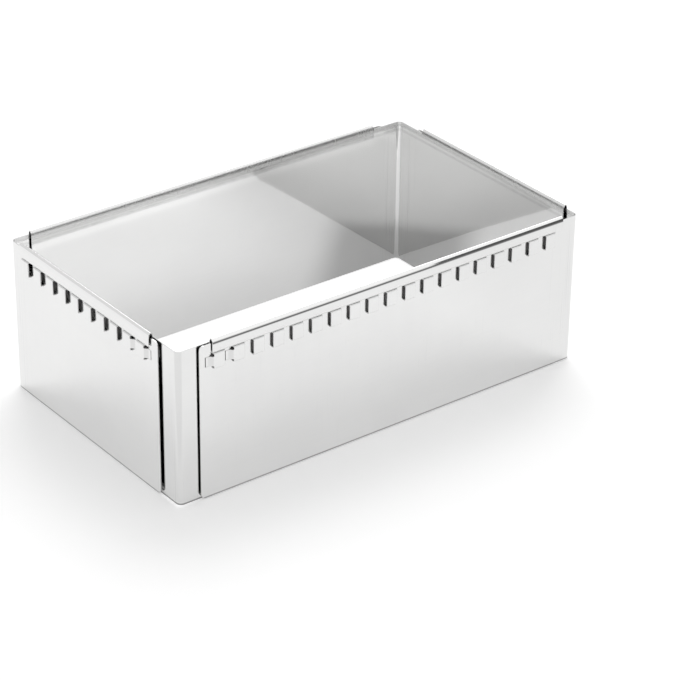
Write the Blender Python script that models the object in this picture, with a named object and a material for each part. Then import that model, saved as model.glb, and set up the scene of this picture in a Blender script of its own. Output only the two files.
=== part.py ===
"""Adjustable cake frame of bright stainless sheet.

Two inner angles and two outer angles, each bent from one strip of sheet, slide on each other.
The outer angles carry a row of pressed louvres. The inner angles are hemmed over their top edges.
Spring catches between the sheets stand in the louvres and click from one to the next.

The frame stands on z = 0 at its smallest size. The long walls run along X, the short ones along Y.
"""
import math

import bmesh
import bpy
from mathutils import Vector

# Overall sizes, in metres: the space inside the closed frame and the height of its walls.
INSIDE_LENGTH = 0.2142
INSIDE_WIDTH = 0.1244
WALL_HEIGHT = 0.0738
OUTER_DROP = 0.0005

# Sheet, the running gap between inner and outer sheets, and the bend at the corners.
SHEET = 0.0004
PLAY = 0.0009
BEND_RADIUS = 0.0025
BEND_STEPS = 6

# Where the free ends of the legs stop, measured from the outer face of the corner that they meet.
OUTER_LONG_STOP = 0.00895
OUTER_SHORT_STOP = 0.0121
INNER_LONG_STOP = 0.0096
INNER_SHORT_STOP = 0.0082
TOP_CORNER_RADIUS = 0.0018
FOOT_CORNER_RADIUS = 0.0025
CORNER_STEPS = 4
ROUND_PROFILE = 0.5

# The hem of the inner angles: a bend outward over the outer sheet, and the flap that hangs from it.
HEM_GAP = 0.0005
HEM_RISE = 0.0006
HEM_STEPS = 6
FLAP_DROP = 0.0047
HEM_LONG_START = 0.0163
HEM_SHORT_START = 0.0174

# The louvres of the outer angles: pitch, place on the leg, and the pressed hood.
LOUVRE_PITCH = 0.010
FIRST_MOUTH_LONG = 0.0075
FIRST_MOUTH_SHORT = 0.0083
CORNER_LAND = 0.0075
HOOD_FLAP_GAP = 0.0004
HOOD_HEIGHT = 0.0072
HOOD_LENGTH = 0.0059
HOOD_RAISE = 0.0016
HOOD_SHOULDER = 0.0003
HOOD_SIDE = 0.0007
HOOD_RAMP_SHOULDER = 0.0004
HOOD_RAMP = 0.0010
SHOULDER_SHARE = 0.78
HOOD_CORNER_PULL = 0.00023
MOUTH_KERF = 0.0001

# The tongues in the first two louvres of each leg, joined to the rim of the hood.
TONGUE_LENGTH = 0.0037
TONGUE_HEIGHT = 0.0046
TONGUE_END_RAISE = 0.00065
TONGUE_KERF = 0.00015
TONGUE_COUNT = 2

# The spring catches: a flat strip in the gap between the sheets with two raised tongues.
STRIP_SHEET = 0.0002
STRIP_HEIGHT = 0.0096
STRIP_TAIL = 0.0055
STRIP_NOSE = 0.0015
STRIP_CORNER_RADIUS = 0.0010
CATCH_HEIGHT = 0.0040
CATCH_TIP = 0.0008
CATCH_ROOT = 0.0045
CATCH_RAISE = 0.0016
CATCH_KERF = 0.0001
CATCH_COUNT = 2
STRIP_OFFSET = 0.0002

# Faces of the nested sheets, measured from the middle of the frame.
INNER_FACE_X = INSIDE_LENGTH / 2 + SHEET
INNER_FACE_Y = INSIDE_WIDTH / 2 + SHEET
OUTER_FACE_X = INNER_FACE_X + PLAY + SHEET
OUTER_FACE_Y = INNER_FACE_Y + PLAY + SHEET
OUTER_HEIGHT = WALL_HEIGHT - OUTER_DROP
HOOD_FOOT_HIGH = WALL_HEIGHT - FLAP_DROP - HOOD_FLAP_GAP
HOOD_FOOT_LOW = HOOD_FOOT_HIGH - HOOD_HEIGHT
HOOD_MIDDLE = HOOD_FOOT_HIGH - HOOD_HEIGHT / 2
MID_RADIUS = BEND_RADIUS - SHEET / 2
BEND_LENGTH = MID_RADIUS * math.pi / 2


def leg_length(own_face, met_face, stop):
    """Length of a leg from the outer face of its own corner to its free end."""
    return own_face + met_face - stop


def louvre_count(leg, first_mouth):
    """How many louvres fit on a leg at the pitch."""
    room = leg - first_mouth - HOOD_LENGTH - CORNER_LAND
    return int(room / LOUVRE_PITCH) + 1


def flat_blank(columns, rows):
    """A flat sheet in the XZ plane with a vertex at each column and row, numbered in two layers."""
    bm = bmesh.new()
    column_layer = bm.verts.layers.int.new("column")
    row_layer = bm.verts.layers.int.new("row")
    across = len(columns) - 1
    up = len(rows) - 1
    bmesh.ops.create_grid(bm, x_segments=across, y_segments=up, size=1.0)
    for vert in bm.verts:
        column = round((vert.co.x + 1.0) / 2 * across)
        row = round((vert.co.y + 1.0) / 2 * up)
        vert[column_layer] = column
        vert[row_layer] = row
        vert.co = Vector((columns[column], 0.0, rows[row]))
    return bm


def grid_place(bm, vert):
    """Column and row of a vertex."""
    return vert[bm.verts.layers.int["column"]], vert[bm.verts.layers.int["row"]]


def lance(bm, path):
    """Cut the sheet along a path of grid places."""
    wanted = {frozenset(pair) for pair in zip(path, path[1:])}
    cut = []
    for edge in bm.edges:
        places = frozenset(grid_place(bm, vert) for vert in edge.verts)
        if places in wanted:
            cut.append(edge)
    bmesh.ops.split_edges(bm, edges=cut)


def faces_between(bm, first_column, last_column, first_row, last_row):
    """Faces of the grid that lie within a range of columns and rows."""
    found = []
    for face in bm.faces:
        places = [grid_place(bm, vert) for vert in face.verts]
        in_columns = all(first_column <= place[0] <= last_column for place in places)
        in_rows = all(first_row <= place[1] <= last_row for place in places)
        if in_columns and in_rows:
            found.append(face)
    return found


def press(bm, faces, shape):
    """Move the vertices of some faces outward and sideways, by a table of grid places."""
    verts = {vert for face in faces for vert in face.verts}
    for vert in verts:
        place = grid_place(bm, vert)
        if place in shape:
            along, outward, upward = shape[place]
            vert.co += Vector((along, -outward, upward))


def round_corners(bm, columns, rows, radius_of_row):
    """Round the corners of the blank at the given columns and rows."""
    for row, radius in radius_of_row.items():
        corners = [vert for vert in bm.verts
                   if grid_place(bm, vert)[0] in columns and grid_place(bm, vert)[1] == rows[row]]
        bmesh.ops.bevel(bm, geom=corners, offset=radius, offset_type="OFFSET", segments=CORNER_STEPS,
                        profile=ROUND_PROFILE, affect="VERTICES")


def fold(bm):
    """Fold a flat sheet round its corner: X is the length along the sheet, -Y is outward."""
    centre = Vector((-BEND_RADIUS, BEND_RADIUS))
    for vert in bm.verts:
        along = vert.co.x
        outward = -vert.co.y
        if along <= 0.0:
            point = Vector((along - BEND_RADIUS, SHEET / 2))
            normal = Vector((0.0, -1.0))
        elif along < BEND_LENGTH:
            angle = along / MID_RADIUS
            normal = Vector((math.sin(angle), -math.cos(angle)))
            point = centre + normal * MID_RADIUS
        else:
            point = Vector((-SHEET / 2, along - BEND_LENGTH + BEND_RADIUS))
            normal = Vector((1.0, 0.0))
        folded = point + normal * outward
        vert.co.x = folded.x
        vert.co.y = folded.y


def finish_mesh(bm, name, mirrored=False):
    """Write a sheet to a mesh, turned over left to right for the other hand."""
    if mirrored:
        for vert in bm.verts:
            vert.co.x = -vert.co.x
        bmesh.ops.reverse_faces(bm, faces=bm.faces[:])
    mesh = bpy.data.meshes.new(name)
    bm.to_mesh(mesh)
    bm.free()
    return mesh


def add_object(name, mesh, material, thickness, location, rotation):
    """Place a sheet in the frame and give it its thickness, half to each side."""
    if not mesh.materials:
        mesh.materials.append(material)
    obj = bpy.data.objects.new(name, mesh)
    bpy.context.scene.collection.objects.link(obj)
    obj.location = location
    obj.rotation_euler = rotation
    solidify = obj.modifiers.new("sheet", "SOLIDIFY")
    solidify.thickness = thickness
    solidify.offset = 0.0
    solidify.use_even_offset = True
    return obj


def steel(name, colour, roughness):
    """A plain metal material."""
    material = bpy.data.materials.new(name)
    material.use_nodes = True
    shader = material.node_tree.nodes["Principled BSDF"]
    shader.inputs["Base Color"].default_value = (*colour, 1.0)
    shader.inputs["Metallic"].default_value = 1.0
    shader.inputs["Roughness"].default_value = roughness
    return material


def bend_columns():
    """Places of the columns in the bend, with the two that bound it."""
    return [BEND_LENGTH * step / BEND_STEPS for step in range(BEND_STEPS + 1)]


def leg_louvres(leg, first_mouth, direction, start):
    """Mouths of one leg from its free end, each with the places of its columns.

    The direction is +1 where the sheet's length grows toward the corner, and -1 on the other leg.
    """
    louvres = []
    for index in range(louvre_count(leg, first_mouth)):
        mouth = start + direction * (first_mouth + index * LOUVRE_PITCH)
        places = {
            "mouth": mouth,
            "crest": mouth + direction * (HOOD_LENGTH - HOOD_RAMP),
            "shoulder": mouth + direction * (HOOD_LENGTH - HOOD_RAMP_SHOULDER),
            "foot": mouth + direction * HOOD_LENGTH,
        }
        if index < TONGUE_COUNT:
            places["tongue"] = mouth - direction * TONGUE_LENGTH
        louvres.append((direction, places))
    return louvres


def press_louvre(bm, direction, column, row):
    """Lance one louvre, raise its hood, and raise its tongue if it has one."""
    low = row["foot_low"]
    high = row["foot_high"]
    mouth = column["mouth"]
    upright = range(low, high + 1)
    if "tongue" in column:
        below = [(mouth, place) for place in range(low, row["tongue_low"] + 1)]
        above = [(mouth, place) for place in range(row["tongue_high"], high + 1)]
        end = [(column["tongue"], place) for place in range(row["tongue_low"], row["tongue_high"] + 1)]
        lance(bm, below + end + above)
        tongue = faces_between(bm, *sorted((column["tongue"], mouth)), row["tongue_low"], row["tongue_high"])
    else:
        lance(bm, [(mouth, place) for place in upright])
        tongue = []
    hood = faces_between(bm, *sorted((mouth, column["foot"])), low, high)

    share_of_row = {place: 1.0 for place in upright}
    share_of_row[low] = 0.0
    share_of_row[high] = 0.0
    share_of_row[row["shoulder_low"]] = SHOULDER_SHARE
    share_of_row[row["shoulder_high"]] = SHOULDER_SHARE
    share_of_column = {mouth: 1.0, column["crest"]: 1.0, column["shoulder"]: SHOULDER_SHARE,
                       column["foot"]: 0.0}
    shape = {}
    for place_along, column_share in share_of_column.items():
        for place_up, row_share in share_of_row.items():
            shape[place_along, place_up] = (0.0, HOOD_RAISE * column_share * row_share, 0.0)
    for place_up, upward in ((low, 1), (high, -1)):
        pull = upward * HOOD_CORNER_PULL
        shape[column["foot"], place_up] = (-direction * HOOD_CORNER_PULL, 0.0, pull)
    if tongue:
        for place_up, upward in ((row["tongue_low"], 1), (row["tongue_high"], -1)):
            kerf = upward * TONGUE_KERF
            shape[column["tongue"], place_up] = (direction * TONGUE_KERF, TONGUE_END_RAISE, kerf)
    press(bm, hood + tongue, shape)

    land = [face for face in faces_between(bm, 0, max(column.values()) + 1, low, high)
            if face not in hood and face not in tongue]
    edge = {(mouth, place): (-direction * MOUTH_KERF, 0.0, 0.0) for place in range(low + 1, high)}
    press(bm, land, edge)


def outer_angle_mesh():
    """An outer angle, from its flat blank: lanced, pressed, cut round at its ends and folded."""
    long_leg = leg_length(OUTER_FACE_X, INNER_FACE_X, OUTER_LONG_STOP)
    short_leg = leg_length(OUTER_FACE_Y, INNER_FACE_Y, OUTER_SHORT_STOP)
    long_end = BEND_RADIUS - long_leg
    short_end = BEND_LENGTH + short_leg - BEND_RADIUS
    louvres = leg_louvres(long_leg, FIRST_MOUTH_LONG, 1, long_end)
    louvres += leg_louvres(short_leg, FIRST_MOUTH_SHORT, -1, short_end)

    marks = [long_end, short_end] + bend_columns()
    for _, places in louvres:
        marks += places.values()
    columns = sorted(marks)
    tongue_low = HOOD_MIDDLE - TONGUE_HEIGHT / 2
    height = {
        "bottom": 0.0,
        "foot_low": HOOD_FOOT_LOW,
        "shoulder_low": HOOD_FOOT_LOW + HOOD_SHOULDER,
        "crest_low": HOOD_FOOT_LOW + HOOD_SIDE,
        "tongue_low": tongue_low,
        "tongue_high": tongue_low + TONGUE_HEIGHT,
        "crest_high": HOOD_FOOT_HIGH - HOOD_SIDE,
        "shoulder_high": HOOD_FOOT_HIGH - HOOD_SHOULDER,
        "foot_high": HOOD_FOOT_HIGH,
        "top": OUTER_HEIGHT,
    }
    row = {name: number for number, name in enumerate(height)}
    bm = flat_blank(columns, list(height.values()))
    for direction, places in louvres:
        press_louvre(bm, direction, {name: columns.index(place) for name, place in places.items()}, row)
    round_corners(bm, (0, len(columns) - 1), row,
                  {"bottom": FOOT_CORNER_RADIUS, "top": TOP_CORNER_RADIUS})
    fold(bm)
    return finish_mesh(bm, "outer_angle")


def fold_hem(bm, first_column, last_column, top_row):
    """Fold the top edge between two columns outward and down into a flap."""
    edges = []
    for edge in bm.edges:
        places = [grid_place(bm, vert) for vert in edge.verts]
        if all(place[1] == top_row and first_column <= place[0] <= last_column for place in places):
            edges.append(edge)
    radius = (SHEET + PLAY + SHEET + HEM_GAP) / 2
    steps = [(0.0, HEM_RISE)]
    for step in range(HEM_STEPS):
        start = math.pi * step / HEM_STEPS
        end = math.pi * (step + 1) / HEM_STEPS
        steps.append((radius * (math.cos(start) - math.cos(end)), radius * (math.sin(end) - math.sin(start))))
    steps.append((0.0, -FLAP_DROP - HEM_RISE))
    for outward, upward in steps:
        made = bmesh.ops.extrude_edge_only(bm, edges=edges)["geom"]
        verts = [item for item in made if isinstance(item, bmesh.types.BMVert)]
        edges = [item for item in made if isinstance(item, bmesh.types.BMEdge) and item.is_boundary
                 and all(vert in verts for vert in item.verts)]
        bmesh.ops.translate(bm, verts=verts, vec=Vector((0.0, -outward, upward)))


def inner_angle_mesh():
    """An inner angle, from its flat blank: cut round at its ends, hemmed along the top and folded."""
    long_leg = leg_length(INNER_FACE_X, OUTER_FACE_X, INNER_LONG_STOP)
    short_leg = leg_length(INNER_FACE_Y, OUTER_FACE_Y, INNER_SHORT_STOP)
    long_end = BEND_RADIUS - long_leg
    short_end = BEND_LENGTH + short_leg - BEND_RADIUS
    long_hem = BEND_RADIUS - HEM_LONG_START
    short_hem = BEND_LENGTH + HEM_SHORT_START - BEND_RADIUS
    columns = sorted([long_end, long_hem, short_hem, short_end] + bend_columns())
    bm = flat_blank(columns, [0.0, WALL_HEIGHT])
    last = len(columns) - 1
    fold_hem(bm, 0, columns.index(long_hem), 1)
    fold_hem(bm, columns.index(short_hem), last, 1)
    round_corners(bm, (0, last), {"bottom": 0}, {"bottom": FOOT_CORNER_RADIUS})
    fold(bm)
    return finish_mesh(bm, "inner_angle", mirrored=True)


def catch_strip_mesh():
    """A spring strip with two lanced tongues, its origin at the mouth of the last louvre."""
    marks = {}
    for number in range(CATCH_COUNT):
        mouth = -LOUVRE_PITCH * number
        marks["tip", number] = mouth + CATCH_TIP
        marks["root", number] = mouth + CATCH_ROOT
    tail = -LOUVRE_PITCH * (CATCH_COUNT - 1) - STRIP_TAIL
    nose = CATCH_ROOT + STRIP_NOSE
    columns = sorted([tail, nose] + list(marks.values()))
    rows = [-STRIP_HEIGHT / 2, -CATCH_HEIGHT / 2, CATCH_HEIGHT / 2, STRIP_HEIGHT / 2]
    bm = flat_blank(columns, rows)
    for number in range(CATCH_COUNT):
        tip = columns.index(marks["tip", number])
        root = columns.index(marks["root", number])
        lance(bm, [(root, 1), (tip, 1), (tip, 2), (root, 2)])
        tongue = faces_between(bm, tip, root, 1, 2)
        shape = {(tip, 1): (CATCH_KERF, CATCH_RAISE, CATCH_KERF),
                 (tip, 2): (CATCH_KERF, CATCH_RAISE, -CATCH_KERF)}
        press(bm, tongue, shape)
    round_corners(bm, (0, len(columns) - 1), {"bottom": 0, "top": 3},
                  {"bottom": STRIP_CORNER_RADIUS, "top": STRIP_CORNER_RADIUS})
    return finish_mesh(bm, "catch_strip")


def build():
    """Make every piece of the frame and place it at the smallest size."""
    for obj in list(bpy.data.objects):
        bpy.data.objects.remove(obj, do_unlink=True)

    inner_steel = steel("inner_sheet", (0.80, 0.80, 0.79), 0.16)
    outer_steel = steel("outer_sheet", (0.82, 0.82, 0.81), 0.18)
    spring_steel = steel("spring_strip", (0.70, 0.70, 0.69), 0.28)

    upright = (0.0, 0.0, 0.0)
    half_turn = (0.0, 0.0, math.pi)
    inner = inner_angle_mesh()
    outer = outer_angle_mesh()
    inner_corner = Vector((INNER_FACE_X, INNER_FACE_Y, 0.0))
    outer_corner = Vector((OUTER_FACE_X, -OUTER_FACE_Y, 0.0))
    add_object("inner_angle_front", inner, inner_steel, SHEET, -inner_corner, upright)
    add_object("inner_angle_back", inner, inner_steel, SHEET, inner_corner, half_turn)
    add_object("outer_angle_right", outer, outer_steel, SHEET, outer_corner, upright)
    add_object("outer_angle_left", outer, outer_steel, SHEET, -outer_corner, half_turn)

    long_leg = leg_length(OUTER_FACE_X, INNER_FACE_X, OUTER_LONG_STOP)
    short_leg = leg_length(OUTER_FACE_Y, INNER_FACE_Y, OUTER_SHORT_STOP)
    last_long = (louvre_count(long_leg, FIRST_MOUTH_LONG) - 1) * LOUVRE_PITCH + FIRST_MOUTH_LONG
    last_short = (louvre_count(short_leg, FIRST_MOUTH_SHORT) - 1) * LOUVRE_PITCH + FIRST_MOUTH_SHORT
    mouth_x = OUTER_FACE_X - long_leg + last_long
    mouth_y = OUTER_FACE_Y - short_leg + last_short
    strip = catch_strip_mesh()
    front_place = Vector((mouth_x, -INNER_FACE_Y - STRIP_OFFSET, HOOD_MIDDLE))
    left_place = Vector((-INNER_FACE_X - STRIP_OFFSET, mouth_y, HOOD_MIDDLE))
    back_place = Vector((-front_place.x, -front_place.y, HOOD_MIDDLE))
    right_place = Vector((-left_place.x, -left_place.y, HOOD_MIDDLE))
    turned_left = (math.pi, 0.0, math.pi / 2)
    turned_right = (math.pi, 0.0, -math.pi / 2)
    add_object("catch_strip_front", strip, spring_steel, STRIP_SHEET, front_place, upright)
    add_object("catch_strip_left", strip, spring_steel, STRIP_SHEET, left_place, turned_left)
    add_object("catch_strip_back", strip, spring_steel, STRIP_SHEET, back_place, half_turn)
    add_object("catch_strip_right", strip, spring_steel, STRIP_SHEET, right_place, turned_right)


build()
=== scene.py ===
import math

import bmesh
import bpy
from mathutils import Matrix, Vector


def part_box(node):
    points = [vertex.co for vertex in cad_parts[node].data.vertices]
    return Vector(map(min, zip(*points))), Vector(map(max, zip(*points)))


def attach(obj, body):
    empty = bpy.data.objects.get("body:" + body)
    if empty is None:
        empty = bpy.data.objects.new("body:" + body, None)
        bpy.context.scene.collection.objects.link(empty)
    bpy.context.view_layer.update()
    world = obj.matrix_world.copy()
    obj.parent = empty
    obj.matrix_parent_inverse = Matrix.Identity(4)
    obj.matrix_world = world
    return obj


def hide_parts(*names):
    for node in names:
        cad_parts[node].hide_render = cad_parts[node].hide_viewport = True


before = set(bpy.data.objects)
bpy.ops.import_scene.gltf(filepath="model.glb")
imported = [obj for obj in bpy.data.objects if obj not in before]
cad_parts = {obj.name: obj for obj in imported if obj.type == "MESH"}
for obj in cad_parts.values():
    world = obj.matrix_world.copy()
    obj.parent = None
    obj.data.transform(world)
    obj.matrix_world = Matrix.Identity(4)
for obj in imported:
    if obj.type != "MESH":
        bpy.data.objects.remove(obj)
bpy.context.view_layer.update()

# The camera stands where the photograph was taken, off the front left corner of the frame and well
# above it, with a long lens.
CAMERA_PLACE = (-0.6319, -0.8480, 0.6043)
CAMERA_TURN = math.radians(-37.74)
CAMERA_TILT = math.radians(60.93)
CAMERA_ROLL = math.radians(0.77)
SENSOR_WIDTH = 36.0
PICTURE_WIDTH = 680
FOCAL_LENGTH_IN_PIXELS = 2673.9

bpy.ops.object.select_all(action="DESELECT")
bpy.ops.object.camera_add(location=CAMERA_PLACE)
camera = bpy.context.object
camera.rotation_euler = (
    Matrix.Rotation(CAMERA_TURN, 3, "Z")
    @ Matrix.Rotation(CAMERA_TILT, 3, "X")
    @ Matrix.Rotation(CAMERA_ROLL, 3, "Z")
).to_euler()
camera.data.sensor_width = SENSOR_WIDTH
camera.data.lens = FOCAL_LENGTH_IN_PIXELS / PICTURE_WIDTH * SENSOR_WIDTH
bpy.context.scene.camera = camera
bpy.context.scene.view_settings.view_transform = "Standard"


# The outer angles are the two bent sheets that carry the louvres: one makes the outside of the front
# and right walls, the other the back and left walls. They are bright rolled stainless sheet, blanked,
# lanced and pressed in one row at a fixed pitch, and then folded once.
SHEET = 0.0004
BEND_RADIUS = 0.0025
BEND_STEPS = 14
LOUVRE_PITCH = 0.010
HOOD_LENGTH = 0.0058
HOOD_REACH = 0.0016
HOOD_FOOT_LOW = 0.0615
HOOD_FOOT_HIGH = 0.0690
# The sheet stays flat this close to a hood.
FLAT_RIM = 0.00025
# Each step of the pressed side goes this far in and this far out.
HOOD_STEPS = (
    (0.00007, 0.00005),
    (0.00009, 0.00014),
    (0.00010, 0.00045),
    (0.00010, 0.00045),
    (0.00010, 0.00022),
    (0.00013, 0.00012),
    (0.00022, 0.00002),
)
TONGUE_LENGTH = 0.0037
TONGUE_HEIGHT = 0.0046
TONGUE_KERF = 0.00012
# Each length of the tongue goes this far back and this far down, from the rim of its hood.
TONGUE_STEPS = (
    (0.00030, 0.00004),
    (0.00035, 0.00030),
    (0.00040, 0.00040),
    (0.00040, 0.00038),
    (0.00035, 0.00020),
    (0.00030, 0.00006),
    (0.00125, 0.00002),
)
# A tile is one pitch of the row. It starts this far before the mouth of its louvre.
TILE_LAND = 0.00395
# The first mouth of each leg is this far from the leg's free end.
FIRST_MOUTH_LONG = 0.00645
FIRST_MOUTH_SHORT = 0.0083
LONG_LOUVRES = 19
SHORT_LOUVRES = 10
TONGUE_LOUVRES = 2
TOP_CORNER_RADIUS = 0.0018
FOOT_CORNER_RADIUS = 0.0025
ROUND_STEPS = 8
# The long free end is this much shorter than the solid's, and the foot this much above the table.
LONG_END_TRIM = 0.00125
FOOT_LIFT = 0.0003
EDGE_BREAK = 0.00005
BREAK_ANGLE = math.radians(60)
SMOOTH_ANGLE = math.radians(32)
# Lengths that differ by less than NEAR count as the same, and points closer than SAME are merged.
NEAR = 0.00001
SAME = 0.000001

outer_low, outer_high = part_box("outer_angle_right")
OUTER_HEIGHT = outer_high.z
OUTER_CORNER = Vector((outer_high.x - HOOD_REACH, outer_low.y + HOOD_REACH, 0.0))
LONG_LEG = OUTER_CORNER.x - outer_low.x - LONG_END_TRIM
SHORT_LEG = outer_high.y - OUTER_CORNER.y


def flat_sheet(x_low, x_high, z_low, z_high):
    """Add a sheet in the XZ plane that faces -Y, and open it for editing."""
    bpy.ops.object.select_all(action="DESELECT")
    middle = ((x_low + x_high) / 2, SHEET / 2, (z_low + z_high) / 2)
    bpy.ops.mesh.primitive_plane_add(size=1.0, location=middle, rotation=(math.pi / 2, 0.0, 0.0))
    sheet = bpy.context.object
    sheet.scale = (x_high - x_low, z_high - z_low, 1.0)
    bpy.ops.object.transform_apply(location=True, rotation=True, scale=True)
    bpy.ops.object.mode_set(mode="EDIT")
    return sheet


def pick(kind, test):
    """Select only the VERTs, EDGEs or FACEs whose middle passes the test."""
    bpy.ops.mesh.select_mode(type=kind)
    bpy.ops.mesh.select_all(action="DESELECT")
    bm = bmesh.from_edit_mesh(bpy.context.object.data)
    items = {"VERT": bm.verts, "EDGE": bm.edges, "FACE": bm.faces}[kind]
    for item in items:
        if kind == "VERT":
            middle = item.co
        else:
            middle = sum((vert.co for vert in item.verts), Vector()) / len(item.verts)
        if test(middle):
            item.select_set(True)
    bmesh.update_edit_mesh(bpy.context.object.data)


def cut(axis, places):
    """Bisect the whole sheet at places along X (0) or along Z (2)."""
    for place in places:
        plane = [0.0, 0.0, 0.0]
        normal = [0.0, 0.0, 0.0]
        plane[axis] = place
        normal[axis] = 1.0
        bpy.ops.mesh.select_all(action="SELECT")
        bpy.ops.mesh.bisect(plane_co=plane, plane_no=normal)


def shift(x, y, z):
    """Move what is selected."""
    bpy.ops.transform.translate(value=(x, y, z))


def pull_out(x, y, z):
    """Extrude what is selected."""
    bpy.ops.mesh.extrude_region_move(TRANSFORM_OT_translate={"value": (x, y, z)})


def fold(way):
    """Spin the selected edge of a leg round the bend. The leg lies along +X (1) or along -X (-1)."""
    centre = (way * BEND_RADIUS, BEND_RADIUS, 0.0)
    bpy.ops.mesh.spin(steps=BEND_STEPS, angle=way * math.pi / 2, center=centre, axis=(0.0, 0.0, 1.0))


def round_off(radius, steps):
    """Round the corners of a sheet that are selected."""
    bpy.ops.mesh.bevel(
        offset=radius, offset_type="OFFSET", segments=steps, profile=0.5, affect="VERTICES"
    )


def merge(distance):
    """Merge the points of the whole mesh that are closer than this."""
    bpy.ops.mesh.select_all(action="SELECT")
    bpy.ops.mesh.remove_doubles(threshold=distance)


def close_to(value, target):
    """Whether two lengths are the same, within a hundredth of a millimetre."""
    return abs(value - target) < NEAR


HOOD_MIDDLE = (HOOD_FOOT_LOW + HOOD_FOOT_HIGH) / 2
TONGUE_LOW = HOOD_MIDDLE - TONGUE_HEIGHT / 2
TONGUE_HIGH = HOOD_MIDDLE + TONGUE_HEIGHT / 2
CUT_HEIGHTS = (
    HOOD_FOOT_LOW - FLAT_RIM,
    HOOD_FOOT_LOW,
    TONGUE_LOW,
    TONGUE_HIGH,
    HOOD_FOOT_HIGH,
    HOOD_FOOT_HIGH + FLAT_RIM,
)
CUT_PLACES = (-FLAT_RIM, 0.0, HOOD_LENGTH, HOOD_LENGTH + FLAT_RIM)


def louvre_tile(with_tongue):
    """One pitch of the sheet with its mouth at x = 0, open to -X, and its hood pressed toward -Y."""
    tile = flat_sheet(-TILE_LAND, LOUVRE_PITCH - TILE_LAND, FOOT_LIFT, OUTER_HEIGHT)
    cut(2, CUT_HEIGHTS)
    cut(0, CUT_PLACES)
    if with_tongue:
        cut(0, (-TONGUE_LENGTH,))

    raised = -SHEET / 2
    for inward, outward in HOOD_STEPS:
        pick("FACE", lambda c: 0.0 < c.x < HOOD_LENGTH and HOOD_FOOT_LOW < c.z < HOOD_FOOT_HIGH
             and close_to(c.y, -raised))
        bpy.ops.mesh.inset(thickness=inward, depth=outward, use_even_offset=True)
        raised += outward
        pick("VERT", lambda c: close_to(c.x, inward) and c.y < -raised + NEAR)
        shift(-inward, 0.0, 0.0)
    pick("FACE", lambda c: close_to(c.x, 0.0) and c.y < SHEET / 2 - NEAR)
    bpy.ops.mesh.delete(type="FACE")

    if with_tongue:
        pick("FACE", lambda c: -TONGUE_LENGTH < c.x < 0.0 and TONGUE_LOW < c.z < TONGUE_HIGH)
        bpy.ops.mesh.delete(type="FACE")
        pick("EDGE", lambda c: close_to(c.x, 0.0) and close_to(c.y, -raised)
             and close_to(c.z, HOOD_MIDDLE))
        narrowing = 1.0 - 2.0 * TONGUE_KERF / TONGUE_HEIGHT
        for back, down in TONGUE_STEPS:
            pull_out(-back, down, 0.0)
            bpy.ops.transform.resize(
                value=(1.0, 1.0, narrowing), center_override=(0.0, 0.0, HOOD_MIDDLE)
            )
            narrowing = 1.0
    bpy.ops.object.mode_set(mode="OBJECT")
    return tile


def joined(parts):
    """Join pieces into one sheet and merge their common edges."""
    bpy.ops.object.select_all(action="DESELECT")
    for part in parts:
        part.select_set(True)
    bpy.context.view_layer.objects.active = parts[0]
    bpy.ops.object.join()
    bpy.ops.object.transform_apply(location=True, rotation=True, scale=True)
    bpy.ops.object.mode_set(mode="EDIT")
    merge(NEAR)
    bpy.ops.object.mode_set(mode="OBJECT")
    return bpy.context.object


def own_copy(source, name):
    """A copy of a piece with a mesh of its own."""
    copy = source.copy()
    copy.data = source.data.copy()
    copy.name = name
    bpy.context.scene.collection.objects.link(copy)
    return copy


def outer_leg(length, first_mouth, louvres):
    """A leg from its rounded free end, at x = -length, to the start of the bend."""
    plain = louvre_tile(False)
    tongued = louvre_tile(True)
    parts = []
    for number in range(louvres):
        source = tongued if number < TONGUE_LOUVRES else plain
        tile = own_copy(source, "tile")
        tile.location.x = first_mouth - length + number * LOUVRE_PITCH
        parts.append(tile)
    bpy.data.objects.remove(plain)
    bpy.data.objects.remove(tongued)

    end = flat_sheet(-length, first_mouth - length - TILE_LAND, FOOT_LIFT, OUTER_HEIGHT)
    cut(2, CUT_HEIGHTS)
    for height, radius in ((FOOT_LIFT, FOOT_CORNER_RADIUS), (OUTER_HEIGHT, TOP_CORNER_RADIUS)):
        pick("VERT", lambda c: close_to(c.x, -length) and close_to(c.z, height))
        round_off(radius, ROUND_STEPS)
    bpy.ops.object.mode_set(mode="OBJECT")
    leg = joined([end] + parts)

    last = first_mouth - length + louvres * LOUVRE_PITCH - TILE_LAND
    bpy.ops.object.mode_set(mode="EDIT")
    pick("EDGE", lambda c: close_to(c.x, last))
    pull_out(-BEND_RADIUS - last, 0.0, 0.0)
    bpy.ops.object.mode_set(mode="OBJECT")
    return leg


long_leg = outer_leg(LONG_LEG, FIRST_MOUTH_LONG, LONG_LOUVRES)
bpy.ops.object.mode_set(mode="EDIT")
pick("EDGE", lambda c: close_to(c.x, -BEND_RADIUS))
fold(-1.0)
bpy.ops.object.mode_set(mode="OBJECT")

short_leg = outer_leg(SHORT_LEG, FIRST_MOUTH_SHORT, SHORT_LOUVRES)
short_leg.scale.x = -1.0
bpy.ops.object.transform_apply(location=True, rotation=True, scale=True)
bpy.ops.object.mode_set(mode="EDIT")
bpy.ops.mesh.select_all(action="SELECT")
bpy.ops.mesh.flip_normals()
bpy.ops.object.mode_set(mode="OBJECT")
short_leg.rotation_euler.z = math.pi / 2
outer_sheet = joined([long_leg, short_leg])


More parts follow.
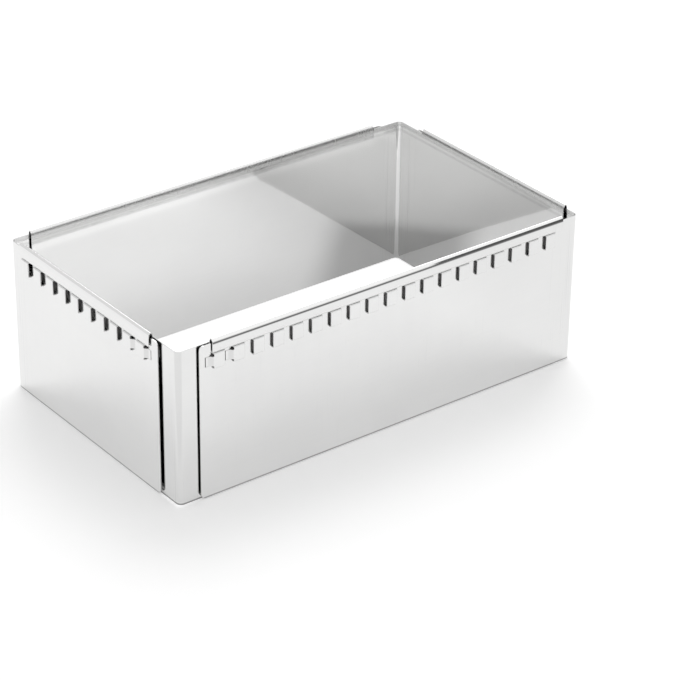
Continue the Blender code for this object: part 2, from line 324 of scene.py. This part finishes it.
def thicken(sheet):
    """Give a folded sheet its thickness and break its cut edges."""
    solidify = sheet.modifiers.new("thickness", "SOLIDIFY")
    solidify.thickness = SHEET
    solidify.offset = 0.0
    solidify.use_even_offset = True
    bpy.ops.object.modifier_apply(modifier=solidify.name)
    bevel = sheet.modifiers.new("broken edges", "BEVEL")
    bevel.width = EDGE_BREAK
    bevel.segments = 1
    bevel.limit_method = "ANGLE"
    bevel.angle_limit = BREAK_ANGLE
    bpy.ops.object.modifier_apply(modifier=bevel.name)
    bpy.ops.object.mode_set(mode="EDIT")
    merge(SAME)
    bpy.ops.object.mode_set(mode="OBJECT")
    bpy.ops.object.shade_smooth_by_angle(angle=SMOOTH_ANGLE)


def seat(piece, corner, turn):
    """Move a finished piece to its corner of the frame, with its place in its mesh."""
    bpy.ops.object.select_all(action="DESELECT")
    piece.select_set(True)
    bpy.context.view_layer.objects.active = piece
    piece.location = corner
    piece.rotation_euler.z = turn
    bpy.ops.object.transform_apply(location=True, rotation=True, scale=True)


def keep_sides(piece):
    """Store the way that each face corner looks, for marks and painted shade that only one side of a
    sheet has.
    """
    sides = [value for corner in piece.data.corner_normals for value in corner.vector]
    piece.data.attributes.new("side", "FLOAT_VECTOR", "CORNER").data.foreach_set("vector", sides)


class Socket:
    """A node's output. Sums on it in Python add Math nodes to its tree."""

    def __init__(self, tree, output):
        self.tree = tree
        self.output = output

    def node(self, kind, settings=None, inputs=None, output=0):
        """Any node, with its settings made first and then the values or links of its sockets."""
        made = self.tree.nodes.new(kind)
        for name, value in (settings or {}).items():
            setattr(made, name, value)
        for name, value in (inputs or {}).items():
            if isinstance(value, Socket):
                self.tree.links.new(value.output, made.inputs[name])
            else:
                made.inputs[name].default_value = value
        return Socket(self.tree, made.outputs[output])

    def feed(self, shader, name):
        """Link this to a socket of the shader."""
        self.tree.links.new(self.output, shader.inputs[name])

    def axes(self):
        """The X, Y and Z of a place or a direction."""
        parts = self.node("ShaderNodeSeparateXYZ", {}, {"Vector": self}).output.node
        return [Socket(self.tree, output) for output in parts.outputs]

    def sum(self, operation, *values):
        """A Math node on these values."""
        return self.node("ShaderNodeMath", {"operation": operation}, dict(enumerate(values)))

    def __add__(self, other):
        return self.sum("ADD", self, other)

    def __radd__(self, other):
        return self.sum("ADD", other, self)

    def __sub__(self, other):
        return self.sum("SUBTRACT", self, other)

    def __rsub__(self, other):
        return self.sum("SUBTRACT", other, self)

    def __mul__(self, other):
        return self.sum("MULTIPLY", self, other)

    def __rmul__(self, other):
        return self.sum("MULTIPLY", other, self)

    def __abs__(self):
        return self.sum("ABSOLUTE", self)

    def over(self, other):
        """The larger of the two."""
        return self.sum("MAXIMUM", self, other)

    def ramp(self, start, end):
        """From 0 at start to 1 at end, smoothly."""
        inputs = {"Value": self, "From Min": start, "From Max": end}
        return self.node("ShaderNodeMapRange", {"interpolation_type": "SMOOTHSTEP"}, inputs)

    def band(self, low, high, blur):
        """1 from low to high, and 0 beyond, with soft edges this wide."""
        return self.ramp(low - blur, low) * (1.0 - self.ramp(high, high + blur))

    def dot(self, other):
        """The dot product of two vectors."""
        inputs = {0: self, 1: other}
        return self.node("ShaderNodeVectorMath", {"operation": "DOT_PRODUCT"}, inputs, output=1)

    def noise(self, scales, detail):
        """Noise on a place, with its own scale along X, Y and Z."""
        place = self.node("ShaderNodeVectorMath", {"operation": "MULTIPLY"}, {0: self, 1: scales})
        return self.node("ShaderNodeTexNoise", {}, {"Vector": place, "Scale": 1.0, "Detail": detail})

    def mixed(self, first, second):
        """The first colour where this is 0 and the second where it is 1."""
        inputs = {"Factor": self, 6: first, 7: second}
        return self.node("ShaderNodeMix", {"data_type": "RGBA"}, inputs, output=2)


def start_finish(name):
    """A new material: its shader, and the place on the piece as a socket."""
    material = bpy.data.materials.new(name)
    material.use_nodes = True
    tree = material.node_tree
    shader = tree.nodes["Principled BSDF"]
    place = Socket(tree, tree.nodes.new("ShaderNodeTexCoord").outputs["Object"])
    return material, shader, place


# How often each pattern repeats in a metre, and the values of the noise between which a mark starts.
ROLLER_SCALE = (70.0, 70.0, 5200.0)
CLOUD_SCALE = (26.0, 26.0, 34.0)
WAVE_SCALE = (19.0, 19.0, 11.0)
SCUFF_SCALE = (900.0, 900.0, 60.0)
SCUFF_EDGE = (0.62, 0.78)
PRESSED_SCALE = (1300.0, 1300.0, 9.0)
PRESSED_EDGE = (0.60, 0.74)
HEM_BAND_SCALE = (300.0, 300.0, 500.0)
# The marks beside the bend fade between these distances from the corner, and the rubbed band starts.
BEND_REACH = (0.004, 0.020)
RUB_START = (0.0160, 0.0168)
RUB_BLUR = 0.001
# The drawn tops and bottoms of the hoods are where the sheet tilts up or down.
DRAWN_TILT = (0.2, 0.5)
DRAWN_BLUR = 0.0002
# Heights of the painted shade line along the foot, and of the darker bands and the rougher fold on the
# inside at the hem, with their soft edges.
FOOT_SHADE_HEIGHTS = (0.0005, 0.0010)
HEM_LINE = (0.0687, 0.0697, 0.0004)
HEM_EDGE = (0.0709, 0.0720, 0.0002)
HEM_FOLD = (0.0711, 0.0715)
# A face looks out of the frame where its normal times its place is above 0, and into it below 0.
SIDE_BLUR = 0.01
BRIGHT_SHEET = (0.74, 0.74, 0.735)
DULL_SHEET = (0.66, 0.66, 0.66)
MARK_COLOUR = (0.52, 0.52, 0.52, 1.0)
FOOT_SHADE_COLOUR = (0.14, 0.14, 0.14, 1.0)
FOLDED_ROUGHNESS = 0.22
DRAWN_ROUGHNESS = 0.30
RUBBED_DULLING = 0.70
DRAWN_DULLING = 0.60


def sheet_finish(name, bright, dull, corner, rubbed_side):
    """Bright rolled sheet: long fine roller lines, faint clouds, slight waves, marks beside the bend,
    darker bands on the inside below the hem, and a painted shade line along the foot.

    The side where the sheets slide on each other is dull at the height of the louvres. It is the
    outer one for a rubbed_side of 1 and the inner one for -1, and 0 is a sheet that isn't rubbed.
    """
    material, shader, place = start_finish(name)
    x, y, z = place.axes()
    side = place.node("ShaderNodeAttribute", {"attribute_name": "side"}, output=1)
    outward = side.dot(place)
    inner_face = 1.0 - outward.ramp(-SIDE_BLUR, 0.0)
    outer_face = outward.ramp(0.0, SIDE_BLUR)

    roller = place.noise(ROLLER_SCALE, 3.0)
    clouds = place.noise(CLOUD_SCALE, 3.0)
    waves = place.noise(WAVE_SCALE, 1.0)
    scuffs = place.noise(SCUFF_SCALE, 2.0).ramp(*SCUFF_EDGE)

    to_corner = abs(abs(x) - corner[0]).over(abs(abs(y) - corner[1]))
    at_bend = 1.0 - to_corner.ramp(*BEND_REACH)
    pressed = place.noise(PRESSED_SCALE, 2.0)
    # A smudged darker band on the inside below the hem, and a plain darker band above it.
    hem_bands = z.band(*HEM_LINE) * place.noise(HEM_BAND_SCALE, 2.0) + 0.4 * z.band(*HEM_EDGE)
    folded = inner_face * z.ramp(*HEM_FOLD)
    rubbed = (rubbed_side * outward).ramp(0.0, SIDE_BLUR) * to_corner.ramp(*RUB_START)
    rubbed = rubbed * z.band(HOOD_FOOT_LOW, HOOD_FOOT_HIGH, RUB_BLUR)
    drawn = abs(side.axes()[2]).ramp(*DRAWN_TILT) * z.band(HOOD_FOOT_LOW, HOOD_FOOT_HIGH, DRAWN_BLUR)
    # Painted shade: the outer face just above the foot is painted dark, as a line of shade along the
    # table.
    foot_shade = outer_face * (1.0 - z.ramp(*FOOT_SHADE_HEIGHTS))

    worn = 0.55 * clouds + 0.30 * roller + 0.15 * scuffs
    colour = worn.mixed((*bright, 1.0), (*dull, 1.0))
    colour = (0.6 * at_bend * pressed.ramp(*PRESSED_EDGE)).mixed(colour, MARK_COLOUR)
    colour = (0.8 * inner_face * hem_bands).mixed(colour, MARK_COLOUR)
    colour = (0.8 * foot_shade).mixed(colour, FOOT_SHADE_COLOUR)
    colour.feed(shader, "Base Color")
    rough = 0.02 + 0.03 * clouds + 0.03 * roller + 0.04 * scuffs + 0.03 * at_bend * pressed
    rough = rough + FOLDED_ROUGHNESS * folded + DRAWN_ROUGHNESS * drawn
    rough.feed(shader, "Roughness")
    metal = 1.0 - RUBBED_DULLING * rubbed - DRAWN_DULLING * drawn
    metal.feed(shader, "Metallic")
    height = 0.000045 * waves + 0.0000004 * roller + 0.000005 * at_bend * pressed
    bump = place.node("ShaderNodeBump", {}, {"Strength": 1.0, "Distance": 1.0, "Height": height})
    bump.feed(shader, "Normal")
    return material


thicken(outer_sheet)
outer_place = (OUTER_CORNER.x, -OUTER_CORNER.y)
outer_finish = sheet_finish("outer sheet", BRIGHT_SHEET, DULL_SHEET, outer_place, -1.0)
outer_sheet.data.materials.clear()
outer_sheet.data.materials.append(outer_finish)
outer_right = own_copy(outer_sheet, "louvred_angle_right")
outer_left = own_copy(outer_sheet, "louvred_angle_left")
bpy.data.objects.remove(outer_sheet)
seat(outer_right, OUTER_CORNER, 0.0)
seat(outer_left, -OUTER_CORNER, math.pi)
for piece, body, node in (
    (outer_right, "right_angle", "outer_angle_right"),
    (outer_left, "left_angle", "outer_angle_left"),
):
    keep_sides(piece)
    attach(piece, body)
    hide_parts(node)


# The inner angles are plain bent sheets inside the louvred ones. Their top edge is folded outward
# into a tall hem, which hooks over the edge of the louvred sheet and lets it slide. The hem is cut
# free of the corner. Along the inside, below the hem, the sheet is darker in a smudged band and in a
# plain band above it.
HEM_REACH = 0.0022
HEM_RISE = 0.0006
HEM_START_BELOW = 0.0016
CORNER_BELOW = 0.0005
HEM_ARCH = 0.00295
HEM_STEPS = 20
HEM_LONG_START = 0.0163
HEM_SHORT_START = 0.0174
HEM_NOTCH = 0.0002
FLAP_DROP = 0.0047
FLAP_LEAN = 0.00005
FLAP_CORNER = 0.0004
FLAP_CORNER_STEPS = 4

inner_low, inner_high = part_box("inner_angle_front")
INNER_HEIGHT = inner_high.z - HEM_RISE - HEM_REACH / 2 - SHEET / 2
HEM_FOOT = INNER_HEIGHT - HEM_START_BELOW
FLAP_END = INNER_HEIGHT - FLAP_DROP
INNER_CORNER = Vector((inner_low.x + HEM_REACH, inner_low.y + HEM_REACH, 0.0))
INNER_LONG = inner_high.x - INNER_CORNER.x
INNER_SHORT = inner_high.y - INNER_CORNER.y


def hem(along, start, end):
    """Fold the top edge outward and down, from start to end on the leg along X (0) or along Y (1)."""
    pick("EDGE", lambda c: start < c[along] < end and close_to(c.z, HEM_FOOT))
    for step in range(HEM_STEPS):
        before = math.pi * step / HEM_STEPS
        after = math.pi * (step + 1) / HEM_STEPS
        move = [0.0, 0.0, HEM_ARCH * (math.sin(after) - math.sin(before))]
        move[1 - along] = HEM_REACH / 2 * (math.cos(after) - math.cos(before))
        pull_out(*move)
    move = [0.0, 0.0, FLAP_END - HEM_FOOT]
    move[1 - along] = FLAP_LEAN
    pull_out(*move)
    for place in (start, end):
        pick("VERT", lambda c: close_to(c[along], place) and close_to(c.z, FLAP_END))
        round_off(FLAP_CORNER, FLAP_CORNER_STEPS)


inner_sheet = flat_sheet(BEND_RADIUS, INNER_LONG, 0.0, HEM_FOOT)
cut(0, (HEM_LONG_START - HEM_NOTCH, HEM_LONG_START))
pick("EDGE", lambda c: close_to(c.x, BEND_RADIUS))
fold(1.0)
for reach in (HEM_SHORT_START - HEM_NOTCH - BEND_RADIUS, HEM_NOTCH, INNER_SHORT - HEM_SHORT_START):
    pull_out(0.0, reach, 0.0)
pick("EDGE", lambda c: close_to(c.z, HEM_FOOT) and c.x < HEM_LONG_START - HEM_NOTCH
     and c.y < HEM_SHORT_START - HEM_NOTCH)
pull_out(0.0, 0.0, HEM_START_BELOW - CORNER_BELOW)
for along, leg in ((0, INNER_LONG), (1, INNER_SHORT)):
    pick("VERT", lambda c: close_to(c[along], leg) and close_to(c.z, 0.0))
    round_off(FOOT_CORNER_RADIUS, ROUND_STEPS)
hem(0, HEM_LONG_START, INNER_LONG)
hem(1, HEM_SHORT_START, INNER_SHORT)
merge(NEAR)
bpy.ops.mesh.normals_make_consistent(inside=False)
bpy.ops.object.mode_set(mode="OBJECT")
thicken(inner_sheet)
inner_place = (-INNER_CORNER.x, -INNER_CORNER.y)
inner_finish = sheet_finish("inner sheet", BRIGHT_SHEET, DULL_SHEET, inner_place, 1.0)
inner_sheet.data.materials.clear()
inner_sheet.data.materials.append(inner_finish)
inner_front = own_copy(inner_sheet, "hemmed_angle_front")
inner_back = own_copy(inner_sheet, "hemmed_angle_back")
bpy.data.objects.remove(inner_sheet)
seat(inner_front, INNER_CORNER, 0.0)
seat(inner_back, -INNER_CORNER, math.pi)
for piece, body, node in (
    (inner_front, "front_angle", "inner_angle_front"),
    (inner_back, "back_angle", "inner_angle_back"),
):
    keep_sides(piece)
    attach(piece, body)
    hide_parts(node)


# The catches are thin spring strips fixed between the sheets, of rolled spring steel. Their solids
# have the real shape, so only their finish is made here, and it has no marks of one side.
SPRING_BRIGHT = (0.62, 0.62, 0.61)
SPRING_DULL = (0.50, 0.50, 0.50)
spring_finish = sheet_finish("spring strip", SPRING_BRIGHT, SPRING_DULL, outer_place, 0.0)
for side in ("front", "left", "back", "right"):
    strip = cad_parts["catch_strip_" + side]
    strip.data.materials.clear()
    strip.data.materials.append(spring_finish)


# The frame stands on a plain white table in a white room, and a large soft lamp hangs behind it. The
# dark strip along the front of the table and a low dark card beside it lie outside the picture: they
# are what the rounded hems show as a dark line. Inside the frame the table gets painted light, so it
# is at its whitest there.
TABLE_SIZE = 6.0
TABLE_COLOUR = (0.90, 0.90, 0.90, 1.0)
# The table's glow in the picture, and the painted light inside the frame, which ends between these
# half lengths.
TABLE_GLOW = 0.11
INSIDE_PAINTED_LIGHT = 0.45
INSIDE_X = (0.106, 0.110)
INSIDE_Y = (0.0612, 0.0645)
# The glow that the sheets mirror, on the whole table and inside the frame. Inside it is painted light
# that grows toward the right and the front, and at the foot of the front wall, and painted shade makes
# it fall toward the back right corner.
MIRRORED_GLOW = 0.22
INSIDE_MIRRORED = 0.06
INSIDE_LIFT = 0.20
INSIDE_LIFTED = (0.05, 0.17)
FOOT_LIFT_INSIDE = 0.15
FOOT_LIFTED = (0.052, 0.0575)
INSIDE_SHADING = 0.32
INSIDE_SHADED = (0.105, 0.140)
# Painted shade makes it a little less toward the right, and off the front left corner.
RIGHT_SHADING = 0.07
RIGHT_SHADED = (0.06, 0.16)
CORNER_SHADING = 0.14
CORNER_SHADED = (0.19, 0.25)
# The darker strip along the front edge of the table.
EDGE_GLOW = 0.22
EDGE_NEAR = (0.20, 0.29)
EDGE_FAR = (0.40, 0.80)
# The card stands upright, beside the table's front and out of the picture on the right.
CARD_PLACE = Vector((0.366, -0.30, 0.07))
CARD_SIZE = (0.30, 0.135)
CARD_GLOW = 0.12
# The room's light, and what the sheets mirror of its back and of its front.
ROOM_COLOUR = (1.0, 1.0, 1.0, 1.0)
ROOM_LIGHT = 0.84
MIRRORED_BACK = 0.98
MIRRORED_FRONT = 1.28
ROOM_TURN = (-0.1, 0.4)
LAMP_PLACE = Vector((1.0, 1.1, 1.9))
LAMP_SIZE = 1.6
LAMP_POWER = 22.0


def bare_tree(owner):
    """The emptied node tree of a material or of the world."""
    owner.use_nodes = True
    owner.node_tree.nodes.clear()
    return owner.node_tree


def rays(tree):
    """1 for what the camera sees itself, and 1 for what is seen in something glossy."""
    seen = Socket(tree, tree.nodes.new("ShaderNodeLightPath").outputs["Is Camera Ray"])
    mirrored = Socket(tree, seen.output.node.outputs["Is Glossy Ray"])
    return seen, mirrored


def finish_tree(last, kind):
    """Make a shader the surface of its material or world."""
    end = last.tree.nodes.new(kind)
    last.feed(end, "Surface")


bpy.ops.object.select_all(action="DESELECT")
bpy.ops.mesh.primitive_plane_add(size=TABLE_SIZE, location=(0.0, 0.0, -NEAR))
table = bpy.context.object
table.name = "table"
table_finish = bpy.data.materials.new("table")
seen, mirrored = rays(bare_tree(table_finish))
ground_x, ground_y = seen.node("ShaderNodeTexCoord", output=3).axes()[:2]
front = 0.0 - ground_y
inside = (1.0 - abs(ground_x).ramp(*INSIDE_X)) * (1.0 - abs(ground_y).ramp(*INSIDE_Y))
# Painted light: the camera sees the table inside the frame brighter, as if it were lit more there.
shine = seen * (inside * INSIDE_PAINTED_LIGHT + TABLE_GLOW)
# Painted light and shade in what the sheets mirror of the table: lifted inside toward the right and
# front and at the front wall's foot, and darker toward the back right corner inside, toward the right,
# and off the front left corner.
lifted = (ground_x + front).ramp(*INSIDE_LIFTED) * INSIDE_LIFT
foot = front.ramp(*FOOT_LIFTED) * FOOT_LIFT_INSIDE
inside_shade = (ground_x - front).ramp(*INSIDE_SHADED) * INSIDE_SHADING
right = ground_x.ramp(*RIGHT_SHADED) * RIGHT_SHADING
corner = (front - ground_x).ramp(*CORNER_SHADED) * CORNER_SHADING
lights = inside * (lifted + foot - inside_shade + INSIDE_MIRRORED) + MIRRORED_GLOW - right - corner
shine = shine + mirrored * lights.over(0.0)
matt = seen.node("ShaderNodeBsdfDiffuse", {}, {"Color": TABLE_COLOUR})
glow = seen.node("ShaderNodeEmission", {}, {"Color": ROOM_COLOUR, "Strength": shine})
lit = seen.node("ShaderNodeAddShader", {}, {0: matt, 1: glow})
shade = seen.node("ShaderNodeEmission", {}, {"Color": ROOM_COLOUR, "Strength": EDGE_GLOW})
edge = mirrored * front.ramp(*EDGE_NEAR) * (1.0 - front.ramp(*EDGE_FAR))
both = seen.node("ShaderNodeMixShader", {}, {0: edge, 1: lit, 2: shade})
finish_tree(both, "ShaderNodeOutputMaterial")
table.data.materials.append(table_finish)

bpy.ops.object.select_all(action="DESELECT")
bpy.ops.mesh.primitive_plane_add(size=1.0, location=CARD_PLACE)
card = bpy.context.object
card.name = "card"
card.rotation_euler = CARD_PLACE.to_track_quat("Z", "Y").to_euler()
card.rotation_euler.x = math.pi / 2
card.scale = (*CARD_SIZE, 1.0)
card.visible_camera = False
card.visible_diffuse = False
card.visible_shadow = False
card_finish = bpy.data.materials.new("card")
dark = rays(bare_tree(card_finish))[0]
dark = dark.node("ShaderNodeEmission", {}, {"Color": ROOM_COLOUR, "Strength": CARD_GLOW})
finish_tree(dark, "ShaderNodeOutputMaterial")
card.data.materials.append(card_finish)

world = bpy.data.worlds.new("room")
bpy.context.scene.world = world
seen, mirrored = rays(bare_tree(world))
across = seen.node("ShaderNodeTexCoord", output=0).axes()[1]
bright = (0.0 - across).ramp(*ROOM_TURN) * (MIRRORED_FRONT - MIRRORED_BACK) + MIRRORED_BACK
strength = mirrored * (bright - ROOM_LIGHT) + ROOM_LIGHT
strength = strength * (1.0 - seen) + seen
background = seen.node("ShaderNodeBackground", {}, {"Color": ROOM_COLOUR, "Strength": strength})
finish_tree(background, "ShaderNodeOutputWorld")

bpy.ops.object.light_add(type="AREA", location=LAMP_PLACE)
lamp = bpy.context.object
lamp.data.size = LAMP_SIZE
lamp.data.energy = LAMP_POWER
lamp.rotation_euler = (-LAMP_PLACE).to_track_quat("-Z", "Y").to_euler()


def plain(bounds):
    """Bounds as plain lists of numbers."""
    return [[float(number) for number in corner] for corner in bounds]
